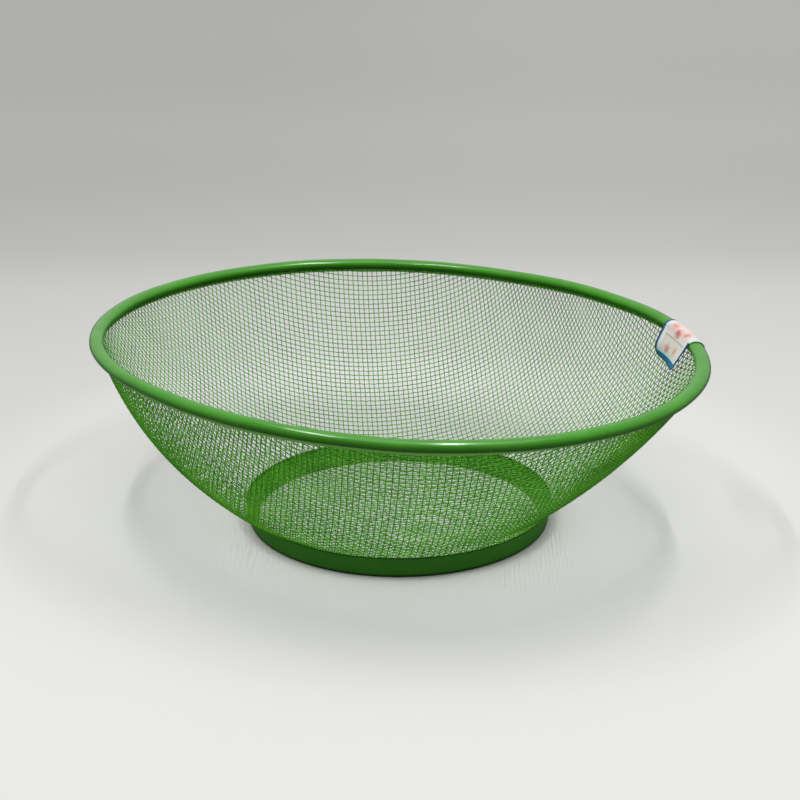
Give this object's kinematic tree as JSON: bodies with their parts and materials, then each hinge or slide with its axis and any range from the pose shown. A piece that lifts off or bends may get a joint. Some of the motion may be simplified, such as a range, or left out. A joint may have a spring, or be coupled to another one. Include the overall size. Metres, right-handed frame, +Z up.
{
  "type": "rice basket",
  "caption": "Round open bowl of green coated wire cloth with a rolled rim, a sheet foot ring and a small paper label on the rim.",
  "frame": {"origin": "below the middle of the rim, on the surface that the basket stands on; the foot ring sits 3.1 mm towards +X of it", "axes": "+Z up out of the bowl's mouth; +X to the right and +Y away from the viewer in the picture"},
  "size_m": [0.2831, 0.2826, 0.0912],
  "materials": {
    "coated_wire": "satin green coating on steel wire",
    "coated_strip": "semi-gloss green coating on rolled steel strip",
    "steel_wire": "plain drawn steel wire, hidden in the rim",
    "coated_foot": "semi-gloss green coating on sheet steel",
    "label_paper": "printed paper with a blue border"
  },
  "bodies": {
    "root": {"mesh_bowl": "coated_wire", "rim_strip": "coated_strip", "rim_hoop": "steel_wire", "foot_ring": "coated_foot", "rim_label": "label_paper"}
  },
  "joints": []
}
